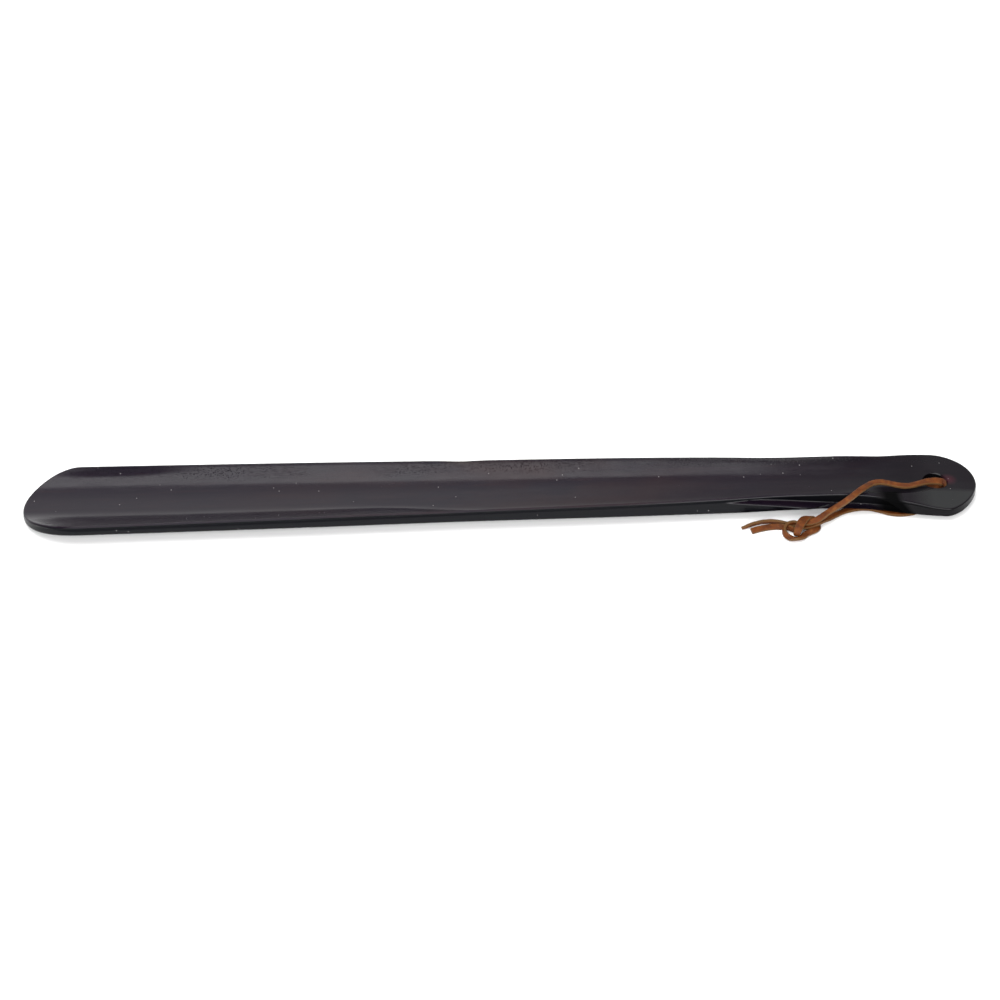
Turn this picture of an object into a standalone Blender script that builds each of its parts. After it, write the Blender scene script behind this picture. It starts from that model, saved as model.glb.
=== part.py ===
"""Long shoehorn: one carved and lacquered wooden body with a leather thong through its head.

The blade tip points to -X and the perforated head to +X.  The open side of the trough faces up,
and the body lies on a narrow flat strip of its underside at z = 0.
"""
import math

import bmesh
import bpy
from mathutils import Vector

MM = 0.001

# Driving dimensions of the wooden body, in millimetres.  x is counted from the blade tip here.
LENGTH = 390.0
TIP_LENGTH = 24.0            # the blade's rounded end, half an ellipse in plan
HEAD_CURVE_FAR = (21.0, 2.1)   # length and exponent of the head's curved end on the far side
HEAD_CURVE_NEAR = (14.2, 1.62)  # the near corner is planed off more sharply
LIP = 0.9                    # flat rim on top of each trough wall
TOP_EDGE = 0.35              # small rounding of the top edges
BOTTOM_EDGE = 0.9            # rounding of the bottom edges
HOLE_RADIUS = 5.0
HOLE_X = 372.8
HOLE_SIDES = 32
CUTTER_DEPTH = 40.0          # longer than the head is thick
BELLY_POWER = 1.6            # how the underside rises from the flat strip to the foot of the walls
STRIP_SHARE = 0.6            # the flat strip never takes more than this share of a narrow section

# Fineness of the mesh.
TIP_STEPS = 9
HEAD_STEPS = 9
SIDE_STEPS = 4
TOP_STEPS = 14
BELLY_STEPS = 4              # on each side of the flat strip
ANGLE_STEP = 0.01
STATIONS = [24, 40, 60, 80, 100, 120, 140, 160, 180, 200, 220, 240, 258, 268, 276, 284, 292, 300,
            308, 316, 324, 332, 338, 342, 346, 350, 353, 356, 359, 362, 364.5]
NEAR_STATIONS = [367, 370, 373]   # the near side stays straight a little further

# Profiles along the body: (x, value) pairs joined by a smooth curve.
HALF_WIDTH = [(24, 21.2), (60, 20.6), (120, 19.4), (180, 17.8), (240, 16.5), (280, 15.0),
              (314, 13.3), (328, 13.3), (344, 13.9), (360, 16.0), (373, 18.2), (378, 18.7), (390, 18.7)]
RIM_HEIGHT = [(0, 9.6), (345, 11.8), (390, 12.0)]
TROUGH_DEPTH = [(0, 5.4), (120, 5.3), (240, 5.0), (320, 4.7), (390, 4.7)]
TROUGH_POWER_FAR = [(0, 3.1), (150, 2.9), (230, 3.0), (285, 3.4), (345, 3.0), (390, 2.0)]
TROUGH_POWER_NEAR = [(0, 3.1), (120, 3.1), (190, 7.0), (322, 6.0), (352, 2.2), (390, 2.0)]
HEAD_DROP = [(333, 0.0), (344, 0.8), (352, 1.8), (361, 3.1), (372, 4.9), (382, 5.6), (390, 5.7)]
SPINE_BOTTOM = [(0, 1.6), (24, 0.0), (258, 0.0), (345, 2.4), (390, 2.4)]
SIDE_BOTTOM = [(0, 6.2), (110, 6.1), (175, 5.9), (235, 5.4), (279, 4.7), (300, 4.1), (330, 4.2),
               (344, 3.6), (352, 3.1), (360, 2.6), (390, 2.6)]
STRIP_HALF = [(0, 3.5), (200, 4.5), (300, 5.5), (335, 6.0), (348, 8.0), (362, 16.0), (390, 16.0)]

# The grip's sides are carved in under the rim: how deep at the foot, and where along the body.
COVE_DEPTH = 3.6
COVE_START = (268.0, 50.0)   # where it begins at the rim, and how much later at the bottom
COVE_END = (351.0, 9.0)
COVE_FADE_IN = 16.0
COVE_FADE_OUT = 5.0
COVE_RIM = (0.05, 0.3)       # where the sharp hollow under the rim starts, and over what share of the height
COVE_RIM_SHARE = 0.5         # its share of the whole depth; the rest grows evenly towards the foot

# The leather lace, in millimetres from the middle of the body's length: a flat strip in life,
# a round one here.  It passes through the hole, and both legs run to one knot.
LACE_DIAMETER = 1.6
LACE_STEP = 3.6              # distance between the points of a tube
LACE_SIDES = 2               # bevel resolution, 8 sides
SPLINE_STEPS = 20            # fine steps between two points of a route
KNOT_SIDES = (16, 10)        # segments round and rings of the knot
HINGE_X = HOLE_X - LENGTH / 2

UPPER_LEG = [
    (181.2, -1.3, 5.5), (181.5, -1.5, 6.6), (180.3, -1.7, 7.9), (177.6, -2.1, 8.7), (174.5, -2.9, 9.2),
    (171.3, -4.2, 9.45), (167.8, -5.7, 9.6), (164.3, -6.5, 9.9), (160.5, -6.4, 10.6), (157.4, -6.0, 11.2),
    (154.3, -5.9, 11.7), (150.9, -7.3, 12.2), (147.6, -10.3, 12.65), (144.5, -13.4, 12.8),
    (141.4, -16.2, 12.2), (138.2, -17.7, 10.6), (134.9, -18.3, 8.6), (131.6, -18.9, 6.5), (129.2, -19.5, 5.0),
]
LOWER_LEG = [
    (181.2, -1.1, 3.7), (181.1, 0.4, 2.8), (180.2, 2.4, 1.9), (178.0, 3.9, 1.3), (175.2, 3.3, 1.1),
    (173.5, -0.2, 1.0), (172.8, -4.8, 1.0), (171.6, -8.3, 1.0), (169.8, -11.2, 1.0), (167.0, -13.0, 1.0),
    (162.8, -13.6, 1.0), (158.6, -12.9, 1.0), (154.9, -11.1, 1.0), (151.4, -9.6, 1.0), (147.6, -9.0, 1.0),
    (143.6, -9.5, 1.0), (139.7, -10.9, 1.0), (136.2, -13.2, 1.2), (132.8, -16.1, 1.7), (129.8, -18.7, 2.4),
]
TAIL_FAR = [
    (112.4, -17.4, 1.2), (110.4, -16.8, 1.1), (108.2, -16.5, 1.0), (105.2, -16.8, 1.0),
    (102.0, -17.9, 1.0), (99.2, -19.3, 1.0), (96.8, -20.5, 1.0),
]
TAIL_NEAR = [
    (111.8, -20.2, 1.1), (109.8, -20.2, 1.0), (107.6, -20.4, 1.0), (104.2, -21.3, 1.0), (100.6, -22.7, 1.0),
]
KNOT_CENTER = (120.6, -23.7, 3.1)
KNOT_HALF = (7.4, 6.4, 2.9)


def smooth_value(points, x):
    """Value at x of a smooth curve through the given points that never overshoots them."""
    if x <= points[0][0]:
        return points[0][1]
    if x >= points[-1][0]:
        return points[-1][1]
    slopes = [(b[1] - a[1]) / (b[0] - a[0]) for a, b in zip(points, points[1:])]
    tangents = [slopes[0]]
    for left, right in zip(slopes, slopes[1:]):
        tangents.append(2 * left * right / (left + right) if left * right > 0 else 0.0)
    tangents.append(slopes[-1])
    i = max(k for k in range(len(points) - 1) if points[k][0] <= x)
    (x0, y0), (x1, y1) = points[i], points[i + 1]
    h = x1 - x0
    t = (x - x0) / h
    return (y0 * (1 + 2 * t) * (1 - t) ** 2 + y1 * t * t * (3 - 2 * t)
            + h * tangents[i] * t * (1 - t) ** 2 - h * tangents[i + 1] * t * t * (1 - t))


def ease(t):
    """0 below 0, 1 above 1, smooth between."""
    t = min(max(t, 0.0), 1.0)
    return t * t * (3 - 2 * t)


def top_height(x, y):
    """Height of the upper surface: the gouged trough, or the sloping flat of the head where that is lower."""
    rim = smooth_value(RIM_HEIGHT, x)
    wall = smooth_value(HALF_WIDTH, x) - LIP
    across = min(abs(y) / wall, 1.0)
    power = smooth_value(TROUGH_POWER_FAR if y > 0 else TROUGH_POWER_NEAR, x)
    trough = rim - smooth_value(TROUGH_DEPTH, x) * (1 - across ** power)
    return min(trough, rim - smooth_value(HEAD_DROP, x))


def bottom_height(x, y):
    """Height of the underside: a flat strip along the spine, rising to the foot of the side walls."""
    strip = smooth_value(STRIP_HALF, x)
    spine = smooth_value(SPINE_BOTTOM, x)
    outward = min(max((abs(y) - strip) / (smooth_value(HALF_WIDTH, x) - strip), 0.0), 1.0)
    return spine + (smooth_value(SIDE_BOTTOM, x) - spine) * outward ** BELLY_POWER


def cove(x, down):
    """How far the side is carved in at x, where down runs from 0 at the rim to 1 at the foot."""
    begin = ease((x - COVE_START[0] - COVE_START[1] * down) / COVE_FADE_IN)
    end = ease((COVE_END[0] + COVE_END[1] * down - x) / COVE_FADE_OUT)
    under_rim = ease((down - COVE_RIM[0]) / COVE_RIM[1])
    return COVE_DEPTH * begin * end * (COVE_RIM_SHARE * under_rim + (1 - COVE_RIM_SHARE) * down)


def rounded_end(x_end, direction, length, power, angle):
    """Point on a curved end of the plan outline; angle runs from 0 at its extreme to a quarter turn."""
    x = x_end + direction * length * (1 - math.cos(angle) ** (2 / power))
    return Vector((x, smooth_value(HALF_WIDTH, x) * math.sin(angle) ** (2 / power)))


def end_point(x_end, direction, length, power, angle):
    """Point and outward normal there."""
    if angle < ANGLE_STEP:
        return Vector((x_end, 0.0)), Vector((-direction, 0.0))
    ahead = rounded_end(x_end, direction, length, power, min(angle + ANGLE_STEP, math.pi / 2))
    behind = rounded_end(x_end, direction, length, power, angle - ANGLE_STEP)
    along = (ahead - behind) * direction
    return rounded_end(x_end, direction, length, power, angle), Vector((-along.y, along.x)).normalized()


def side_point(x):
    """Point and outward normal on the long side of the plan outline."""
    rise = smooth_value(HALF_WIDTH, x + 0.5) - smooth_value(HALF_WIDTH, x - 0.5)
    return Vector((x, smooth_value(HALF_WIDTH, x))), Vector((-rise, 1.0)).normalized()


def outline_rows():
    """Pairs of matching far and near points of the plan outline, from the blade tip to the head's end."""
    tip = [end_point(0.0, 1, TIP_LENGTH, 2.0, math.pi / 2 * k / TIP_STEPS) for k in range(TIP_STEPS)]
    sides = []
    for extra, (length, power) in (([], HEAD_CURVE_FAR), (NEAR_STATIONS, HEAD_CURVE_NEAR)):
        steps = HEAD_STEPS - len(extra)
        head = [end_point(LENGTH, -1, length, power, math.pi / 2 * k / steps) for k in range(steps, -1, -1)]
        sides.append(tip + [side_point(x) for x in STATIONS + extra] + head)
    return list(zip(*sides))


def side_profile(point, normal, side):
    """One side of a section, from the upper inner edge round to the lower inner edge."""
    def place(inset, z_at):
        x, y = point - normal * inset
        return Vector((x, side * max(y, 0.0), z_at(x, side * y)))

    top = place(TOP_EDGE, top_height)
    bottom = place(BOTTOM_EDGE, bottom_height)
    profile = [top]
    for k in (1, 2):
        turn = math.pi / 4 * k
        edge = place(TOP_EDGE * (1 - math.sin(turn)), lambda x, y: 0.0)
        profile.append(Vector((edge.x, edge.y, top.z - TOP_EDGE * (1 - math.cos(turn)))))
    upper, lower = top.z - TOP_EDGE, bottom.z + BOTTOM_EDGE
    for k in range(1, SIDE_STEPS + 1):
        down = k / SIDE_STEPS
        edge = place(cove(point.x, down), lambda x, y: 0.0)
        profile.append(Vector((edge.x, edge.y, upper + (lower - upper) * down)))
    foot = cove(point.x, 1.0)
    for k in (1, 2):
        turn = math.pi / 4 * k
        edge = place(foot + (BOTTOM_EDGE - foot) * (1 - math.cos(turn)), lambda x, y: 0.0)
        profile.append(Vector((edge.x, edge.y, lower - BOTTOM_EDGE * math.sin(turn))))
    return profile


def trough_strip(far, near):
    """Points across the upper surface between its two edges, closer together near the edges."""
    points = []
    for k in range(1, TOP_STEPS):
        share = 0.5 - 0.5 * math.cos(math.pi * k / TOP_STEPS)
        x, y = far.x + (near.x - far.x) * share, far.y + (near.y - far.y) * share
        points.append(Vector((x, y, top_height(x, y))))
    return points


def belly_strip(near, far):
    """Points across the underside between its two edges, one of them at each edge of the flat strip."""
    flat = min(smooth_value(STRIP_HALF, near.x), STRIP_SHARE * far.y, -STRIP_SHARE * near.y)
    across = [near.y - (near.y + flat) * k / BELLY_STEPS for k in range(1, BELLY_STEPS + 1)]
    across += [flat + (far.y - flat) * k / BELLY_STEPS for k in range(BELLY_STEPS)]
    points = []
    for y in across:
        share = (y - near.y) / (far.y - near.y) if far.y > near.y else 0.5
        x = near.x + (far.x - near.x) * share
        points.append(Vector((x, y, bottom_height(x, y))))
    return points


def section_loop(far, near):
    """One closed section of the body, round from the far upper edge by way of the near side."""
    far_side = side_profile(*far, 1)
    near_side = side_profile(*near, -1)
    trough = trough_strip(far_side[0], near_side[0])
    belly = belly_strip(near_side[-1], far_side[-1])
    return [far_side[0]] + trough + near_side + belly + far_side[:0:-1]


def material(name, color, roughness, metallic=0.0):
    """A plain Principled material."""
    made = bpy.data.materials.new(name)
    made.use_nodes = True
    shader = made.node_tree.nodes["Principled BSDF"]
    shader.inputs["Base Color"].default_value = (*color, 1.0)
    shader.inputs["Roughness"].default_value = roughness
    shader.inputs["Metallic"].default_value = metallic
    return made


def row_frame(point):
    """From millimetres counted from the blade tip to metres about the middle of the length."""
    return Vector(((point[0] - LENGTH / 2) * MM, point[1] * MM, point[2] * MM))


def add_object(name, mesh, finish):
    """Put a finished mesh in the scene under its own name."""
    mesh.materials.append(finish)
    made = bpy.data.objects.new(name, mesh)
    bpy.context.scene.collection.objects.link(made)
    return made


def loft(name, loops):
    """Mesh through closed loops of equal length; the first and last loop have folded onto a line."""
    bm = bmesh.new()
    rings = [[bm.verts.new(row_frame(point)) for point in loop] for loop in loops]
    for ring, following in zip(rings, rings[1:]):
        for k in range(len(ring)):
            j = (k + 1) % len(ring)
            bm.faces.new((ring[k], ring[j], following[j], following[k]))
    bmesh.ops.remove_doubles(bm, verts=bm.verts, dist=1e-6)
    bmesh.ops.dissolve_degenerate(bm, edges=bm.edges, dist=1e-7)
    bmesh.ops.recalc_face_normals(bm, faces=bm.faces)
    mesh = bpy.data.meshes.new(name)
    bm.to_mesh(mesh)
    bm.free()
    return mesh


def shade(mesh, angle):
    """Smooth shading with sharp creases."""
    mesh.shade_smooth()
    mesh.set_sharp_from_angle(angle=math.radians(angle))


def make_body():
    """The wooden body: blade, grip and head in one piece, with the hanging hole cut through the head."""
    mesh = loft("shoehorn_body", [section_loop(far, near) for far, near in outline_rows()])
    body = add_object("shoehorn_body", mesh, material("lacquered_wood", (0.018, 0.014, 0.016), 0.22))
    bpy.ops.mesh.primitive_cylinder_add(vertices=HOLE_SIDES, radius=HOLE_RADIUS * MM,
                                        depth=CUTTER_DEPTH * MM, location=(HINGE_X * MM, 0, 0))
    cutter = bpy.context.object
    cutter.name = "hole_cutter"
    cutter.hide_render = True
    cutter.display_type = "WIRE"
    hole = body.modifiers.new("hanging_hole", "BOOLEAN")
    hole.operation = "DIFFERENCE"
    hole.object = cutter
    shade(mesh, 30)
    return body


def spline_point(before, start, end, after, t):
    """Point on the Catmull-Rom curve from start to end."""
    return 0.5 * (2 * start + (end - before) * t + (2 * before - 5 * start + 4 * end - after) * t ** 2
                  + (3 * start - before - 3 * end + after) * t ** 3)


def smooth_route(route, step):
    """Evenly spaced points on a smooth curve through the route's points."""
    points = [Vector(point) for point in route]
    points = [2 * points[0] - points[1]] + points + [2 * points[-1] - points[-2]]
    fine = []
    for four in zip(points, points[1:], points[2:], points[3:]):
        fine += [spline_point(*four, k / SPLINE_STEPS) for k in range(SPLINE_STEPS)]
    fine.append(points[-2])
    travelled = [0.0]
    for a, b in zip(fine, fine[1:]):
        travelled.append(travelled[-1] + (b - a).length)
    count = max(3, round(travelled[-1] / step) + 1)
    targets = [travelled[-1] * k / (count - 1) for k in range(count)]
    return [fine[min(range(len(fine)), key=lambda k: abs(travelled[k] - target))] for target in targets]


def make_lace(name, route, leather):
    """One free stretch of the lace as a round tube with closed ends, its origin on the hole's axis."""
    curve = bpy.data.curves.new(name, "CURVE")
    curve.dimensions = "3D"
    curve.bevel_depth = LACE_DIAMETER / 2 * MM
    curve.bevel_resolution = LACE_SIDES
    curve.use_fill_caps = True
    points = smooth_route(route, LACE_STEP)
    spline = curve.splines.new("POLY")
    spline.points.add(len(points) - 1)
    for slot, point in zip(spline.points, points):
        slot.co = ((point.x - HINGE_X) * MM, point.y * MM, point.z * MM, 1.0)
    curve.materials.append(leather)
    lace = bpy.data.objects.new(name, curve)
    lace.location.x = HINGE_X * MM
    bpy.context.scene.collection.objects.link(lace)
    return lace


def make_knot(leather):
    """The outer shape of the overhand knot."""
    bm = bmesh.new()
    bmesh.ops.create_uvsphere(bm, u_segments=KNOT_SIDES[0], v_segments=KNOT_SIDES[1], radius=1.0)
    for vert in bm.verts:
        vert.co = Vector([(center + half * along) * MM
                          for center, half, along in zip(KNOT_CENTER, KNOT_HALF, vert.co)])
        vert.co.x -= HINGE_X * MM
    mesh = bpy.data.meshes.new("thong_knot")
    bm.to_mesh(mesh)
    bm.free()
    mesh.shade_smooth()
    knot = add_object("thong_knot", mesh, leather)
    knot.location.x = HINGE_X * MM
    return knot


def make_thong():
    """The leather thong: it swings round the hole's upright axis, which each piece has as its origin."""
    leather = material("tan_leather", (0.28, 0.11, 0.035), 0.65)
    make_lace("thong_upper_leg", UPPER_LEG, leather)
    make_lace("thong_lower_leg", LOWER_LEG, leather)
    make_lace("thong_tail_far", TAIL_FAR, leather)
    make_lace("thong_tail_near", TAIL_NEAR, leather)
    make_knot(leather)


for leftover in list(bpy.data.objects):
    bpy.data.objects.remove(leftover)
make_body()
make_thong()
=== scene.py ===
"""Looks of the long shoehorn: a hand-carved, black-lacquered wooden body with a knotted tan leather thong.

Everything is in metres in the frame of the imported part: +X runs to the perforated head, the near side
is -Y, and the shoehorn lies on z = 0 with its trough up.  Constants that end in _MM are millimetres.
"""
import math
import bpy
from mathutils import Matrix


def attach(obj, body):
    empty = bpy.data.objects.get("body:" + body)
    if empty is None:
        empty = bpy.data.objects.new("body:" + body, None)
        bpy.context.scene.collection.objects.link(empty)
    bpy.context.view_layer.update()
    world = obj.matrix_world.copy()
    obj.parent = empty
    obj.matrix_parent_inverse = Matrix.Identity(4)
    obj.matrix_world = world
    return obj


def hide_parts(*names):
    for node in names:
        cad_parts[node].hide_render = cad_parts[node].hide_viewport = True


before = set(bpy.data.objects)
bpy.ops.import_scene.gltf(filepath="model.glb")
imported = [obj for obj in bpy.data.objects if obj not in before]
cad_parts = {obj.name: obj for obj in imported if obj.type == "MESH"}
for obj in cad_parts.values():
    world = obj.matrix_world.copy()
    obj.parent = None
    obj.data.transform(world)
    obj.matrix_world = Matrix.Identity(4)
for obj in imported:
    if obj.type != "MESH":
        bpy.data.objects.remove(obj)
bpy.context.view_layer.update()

from types import SimpleNamespace

import bmesh
import bpy
from mathutils import Vector, noise

MM = 0.001


def add_object(name, bm):
    """Turn a finished bmesh into an object of the scene."""
    mesh = bpy.data.meshes.new(name)
    bm.to_mesh(mesh)
    bm.free()
    made = bpy.data.objects.new(name, mesh)
    bpy.context.scene.collection.objects.link(made)
    return made


# ---------------------------------------------------------------- camera

CAMERA_PLACE = (-0.0490, -1.1784, 0.8878)
CAMERA_DOWN = 36.88          # degrees below the horizon
CAMERA_TURN = 2.353          # degrees off square to the shoehorn
CAMERA_LENS = 129.7


def make_camera():
    """A long lens that looks down across the shoehorn's near side."""
    lens = bpy.data.cameras.new("camera")
    lens.lens = CAMERA_LENS
    lens.sensor_width = 36.0
    lens.clip_start, lens.clip_end = 0.05, 50.0
    camera = bpy.data.objects.new("camera", lens)
    camera.location = CAMERA_PLACE
    camera.rotation_euler = (math.radians(90 - CAMERA_DOWN), 0.0, -math.radians(CAMERA_TURN))
    bpy.context.scene.collection.objects.link(camera)
    bpy.context.scene.camera = camera


# ---------------------------------------------------------------- the thong

LACE_WIDTH_MM = 2.6
LACE_THICKNESS_MM = 1.3
RING_STEP_MM = 0.4           # distance between rings of points along the lace
SECTION_STEP_MM = 0.55       # and about what lies between two points round it
SPLINE_STEPS = 24            # fine steps between two places of a route
FLAT_POINTS = 5              # points along each flat of the lace's section
FLAT_SHARE = 0.82            # how far the flats reach, as a share of the half width
FACE_BULGE = 0.10            # how much thinner the flats get towards the cut edges, as a share
CUT_EDGE = [(-0.95, 0.72), (-1.0, 0.3), (-1.0, -0.3), (-0.95, -0.72)]   # (across, deep) down one edge
POINT_MM = 3.0               # length of the far tail's point, and its width at the end as a share
POINT_SHARE = 0.25

# Route of the lace in millimetres: place, direction of its upper face, width as a share of LACE_WIDTH_MM.
UPPER_LEG = [
    ((181.2, -1.3, 4.4), (-1, 0, 0), 1.3), ((181.5, -1.5, 6.3), (-0.9, -0.4, 0.2), 1.35),
    ((180.3, -1.7, 7.9), (-0.5, -0.3, 1), 1.3), ((177.6, -2.1, 8.7), (0, -0.3, 1), 1.2),
    ((174.5, -2.9, 9.2), (0, -0.2, 1), 1.1), ((171.3, -4.2, 9.45), (0, -0.1, 1), 1),
    ((167.8, -5.7, 9.6), (0, -0.1, 1), 1), ((164.3, -6.5, 9.9), (0, -0.1, 1), 1),
    ((160.5, -6.4, 10.6), (0, -0.1, 1), 1), ((157.4, -6.0, 11.2), (0, -0.1, 1), 1),
    ((154.3, -5.9, 11.7), (0, -0.1, 1), 1), ((150.9, -7.3, 12.2), (0, -0.1, 1), 1),
    ((147.6, -10.3, 12.65), (0, -0.2, 1), 1), ((144.5, -13.4, 12.8), (0, -0.3, 1), 1),
    ((141.4, -16.2, 12.2), (-0.2, -0.4, 1), 1), ((138.2, -17.7, 10.6), (-0.4, -0.4, 1), 1),
    ((134.9, -18.3, 8.6), (-0.5, -0.4, 1), 1), ((131.6, -18.9, 6.5), (-0.5, -0.3, 1), 1),
]
LOWER_LEG = [
    ((181.2, -1.3, 4.4), (-1, 0, 0), 1.3), ((181.2, 0.2, 3.0), (-0.8, -0.3, 0.5), 1.3),
    ((180.3, 2.4, 1.9), (-0.4, -0.2, 0.9), 1.4), ((178.0, 3.9, 1.3), (0, 0, 1), 1.5),
    ((175.2, 3.3, 1.1), (0, 0, 1), 1.5), ((173.5, -0.2, 1.0), (0, 0, 1), 1.1),
    ((172.8, -4.8, 1.0), (0, 0, 1), 1), ((171.6, -8.3, 1.0), (0, 0, 1), 1),
    ((169.8, -11.2, 1.0), (0, 0, 1), 1),
    ((167.0, -13.0, 1.0), (0, 0, 1), 1), ((162.8, -13.6, 1.0), (0, 0, 1), 1),
    ((158.6, -12.9, 1.0), (0, 0, 1), 1), ((154.9, -11.1, 1.0), (0, 0, 1), 1),
    ((151.4, -9.6, 1.0), (0, 0, 1), 1), ((147.6, -9.0, 1.0), (0, 0, 1), 1),
    ((143.6, -9.5, 1.0), (0, 0, 1), 1), ((139.7, -10.9, 1.0), (0, 0, 1), 1),
    ((136.2, -13.2, 1.2), (0, 0, 1), 1), ((132.8, -16.1, 1.7), (0, -0.1, 1), 1),
]
# The upper leg ties the overhand knot round the lower one, which runs straight through it.
KNOT_LOOP = [
    ((128.7, -19.7, 4.6), (-0.3, -0.4, 1), 1.1), ((126.3, -20.7, 3.9), (0, -0.4, 1), 1.1),
    ((123.5, -21.3, 3.6), (0, -0.2, 1), 1.1), ((120.7, -20.8, 3.2), (-0.1, 0.5, 0.9), 1.1),
    ((118.0, -20.1, 2.8), (-0.4, 0.9, 0.25), 0.95), ((115.4, -20.9, 2.7), (-0.85, 0.5, 0.25), 0.95),
    ((113.8, -23.2, 2.4), (-1, 0, 0.25), 0.95), ((113.8, -26.0, 2.0), (-0.9, -0.3, 0.35), 0.95),
    ((115.5, -28.4, 1.6), (-0.4, -0.1, 0.8), 0.95), ((118.2, -29.1, 1.4), (0, 0.5, 0.87), 0.95),
    ((120.8, -27.7, 1.3), (0.2, 0.2, 0.9), 1.0), ((122.9, -25.5, 1.3), (0.1, -0.3, 0.95), 1.0),
    ((125.5, -24.1, 1.4), (0.1, -0.3, 0.95), 1.0), ((127.3, -22.3, 1.2), (0.3, -0.1, 1), 1.0),
    ((127.7, -20.3, 0.9), (0.2, 0.1, 1), 1.0), ((127.2, -18.5, 1.1), (0.3, 0.6, 0.7), 1.1),
    ((126.2, -17.6, 2.1), (0.3, 0.95, 0.3), 1.2), ((125.1, -17.7, 3.3), (0.2, 0.9, 0.6), 1.3),
    ((123.8, -18.8, 4.3), (0.1, 0.6, 0.9), 1.35), ((122.3, -20.6, 5.0), (0, 0.1, 1), 1.35),
    ((120.9, -22.8, 5.2), (-0.05, -0.4, 0.9), 1.35), ((119.7, -24.9, 4.7), (-0.1, -0.8, 0.7), 1.3),
    ((118.9, -26.5, 3.7), (-0.2, -0.95, 0.3), 1.2), ((118.5, -27.1, 2.5), (-0.3, -0.9, -0.3), 1.1),
    ((118.7, -26.0, 1.3), (-0.1, -0.5, -0.9), 1), ((118.6, -23.9, 1.35), (0.3, 0.9, -0.3), 1),
    ((116.7, -22.0, 1.5), (0.4, 0.9, -0.1), 1), ((114.3, -20.8, 1.35), (0.3, 0.9, -0.1), 1),
]
TAIL_NEAR = [
    ((111.8, -20.2, 1.1), (0, 0.7, -0.7), 1), ((109.8, -20.2, 1.0), (0, 0.5, -0.8), 1),
    ((107.6, -20.4, 1.0), (0, 0.4, -0.9), 1), ((104.2, -21.3, 1.0), (0, 0.4, -0.9), 1),
    ((100.6, -22.7, 1.0), (0, 0.4, -0.9), 1),
]
KNOT_CORE = [
    ((129.8, -18.7, 2.4), (0, 0, 1), 1), ((127.0, -20.5, 2.3), (0, 0, 1), 1),
    ((124.2, -21.7, 1.9), (0, 0, 1), 1), ((121.4, -21.7, 1.6), (0, 0.2, 1), 1),
    ((118.6, -20.4, 1.4), (0, 0.6, 0.8), 1), ((115.4, -18.6, 1.3), (0, 0.8, 0.6), 1),
]
TAIL_FAR = [
    ((112.4, -17.4, 1.2), (0, 0.9, 0.5), 1), ((110.4, -16.8, 1.1), (0, 0.9, 0.5), 1),
    ((108.2, -16.5, 1.0), (0, 0.9, 0.5), 1), ((105.2, -16.8, 1.0), (0, 0.9, 0.5), 1),
    ((102.0, -17.9, 1.0), (-0.2, 0.9, 0.5), 1), ((99.2, -19.3, 1.0), (-0.3, 0.9, 0.5), 1),
    ((96.8, -20.5, 1.0), (-0.3, 0.9, 0.5), 1),
]


def spline(before, start, end, after, t):
    """Catmull-Rom curve from start to end, for numbers or vectors."""
    return 0.5 * (2 * start + (end - before) * t + (2 * before - 5 * start + 4 * end - after) * t ** 2
                  + (3 * start - before - 3 * end + after) * t ** 3)


def through(values, steps):
    """A smooth run of values or vectors through the given ones."""
    padded = [2 * values[0] - values[1]] + values + [2 * values[-1] - values[-2]]
    run = []
    for four in zip(padded, padded[1:], padded[2:], padded[3:]):
        run += [spline(*four, k / steps) for k in range(steps)]
    return run + [values[-1]]


def lace_rings(route):
    """Evenly spaced (centre, tangent, face, width share) along a route, in millimetres, and its length."""
    centres = through([Vector(place) for place, face, width in route], SPLINE_STEPS)
    faces = through([Vector(face).normalized() for place, face, width in route], SPLINE_STEPS)
    widths = through([float(width) for place, face, width in route], SPLINE_STEPS)
    travelled = [0.0]
    for a, b in zip(centres, centres[1:]):
        travelled.append(travelled[-1] + (b - a).length)
    count = round(travelled[-1] / RING_STEP_MM)
    rings, k = [], 0
    for ring in range(count + 1):
        target = travelled[-1] * ring / count
        while k < len(travelled) - 2 and travelled[k + 1] < target:
            k += 1
        share = (target - travelled[k]) / (travelled[k + 1] - travelled[k])
        rings.append((centres[k].lerp(centres[k + 1], share), (centres[k + 1] - centres[k]).normalized(),
                      faces[k].lerp(faces[k + 1], share), widths[k] + (widths[k + 1] - widths[k]) * share))
    return rings, travelled[-1]


def lace_section():
    """The cut strip's section as (across, deep, edge share): two flat faces and two rounded cut edges."""
    points = []
    for k in range(FLAT_POINTS):
        across = FLAT_SHARE - 2 * FLAT_SHARE * k / (FLAT_POINTS - 1)
        points.append((across, 1.0 - FACE_BULGE * across ** 2, abs(across) ** 4))
    points += [(across, deep, 1.0) for across, deep in CUT_EDGE]
    return points + [(-across, -deep, edge) for across, deep, edge in points]


def lace_ring(ring, section, along, to_end, end_cut, shift):
    """Points round the lace at one place of its route, with uneven width and thickness, in millimetres."""
    centre, tangent, face, width = ring
    face = (face - tangent * face.dot(tangent)).normalized()
    side = tangent.cross(face)
    points = []
    for across, deep, edge in section:
        rough = noise.noise(Vector((along * 0.55, across * 2.0, deep * 1.5)) + Vector((shift, 0, 0)))
        fine = noise.noise(Vector((along * 2.1, across * 3.0, deep * 3.0)))
        half_width = LACE_WIDTH_MM / 2 * width * (1 + 0.05 * rough + 0.03 * fine * edge)
        half_thick = LACE_THICKNESS_MM / 2 * (1 + 0.08 * rough)
        points.append(centre + side * across * half_width * end_cut(to_end) + face * deep * half_thick)
    return points


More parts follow.
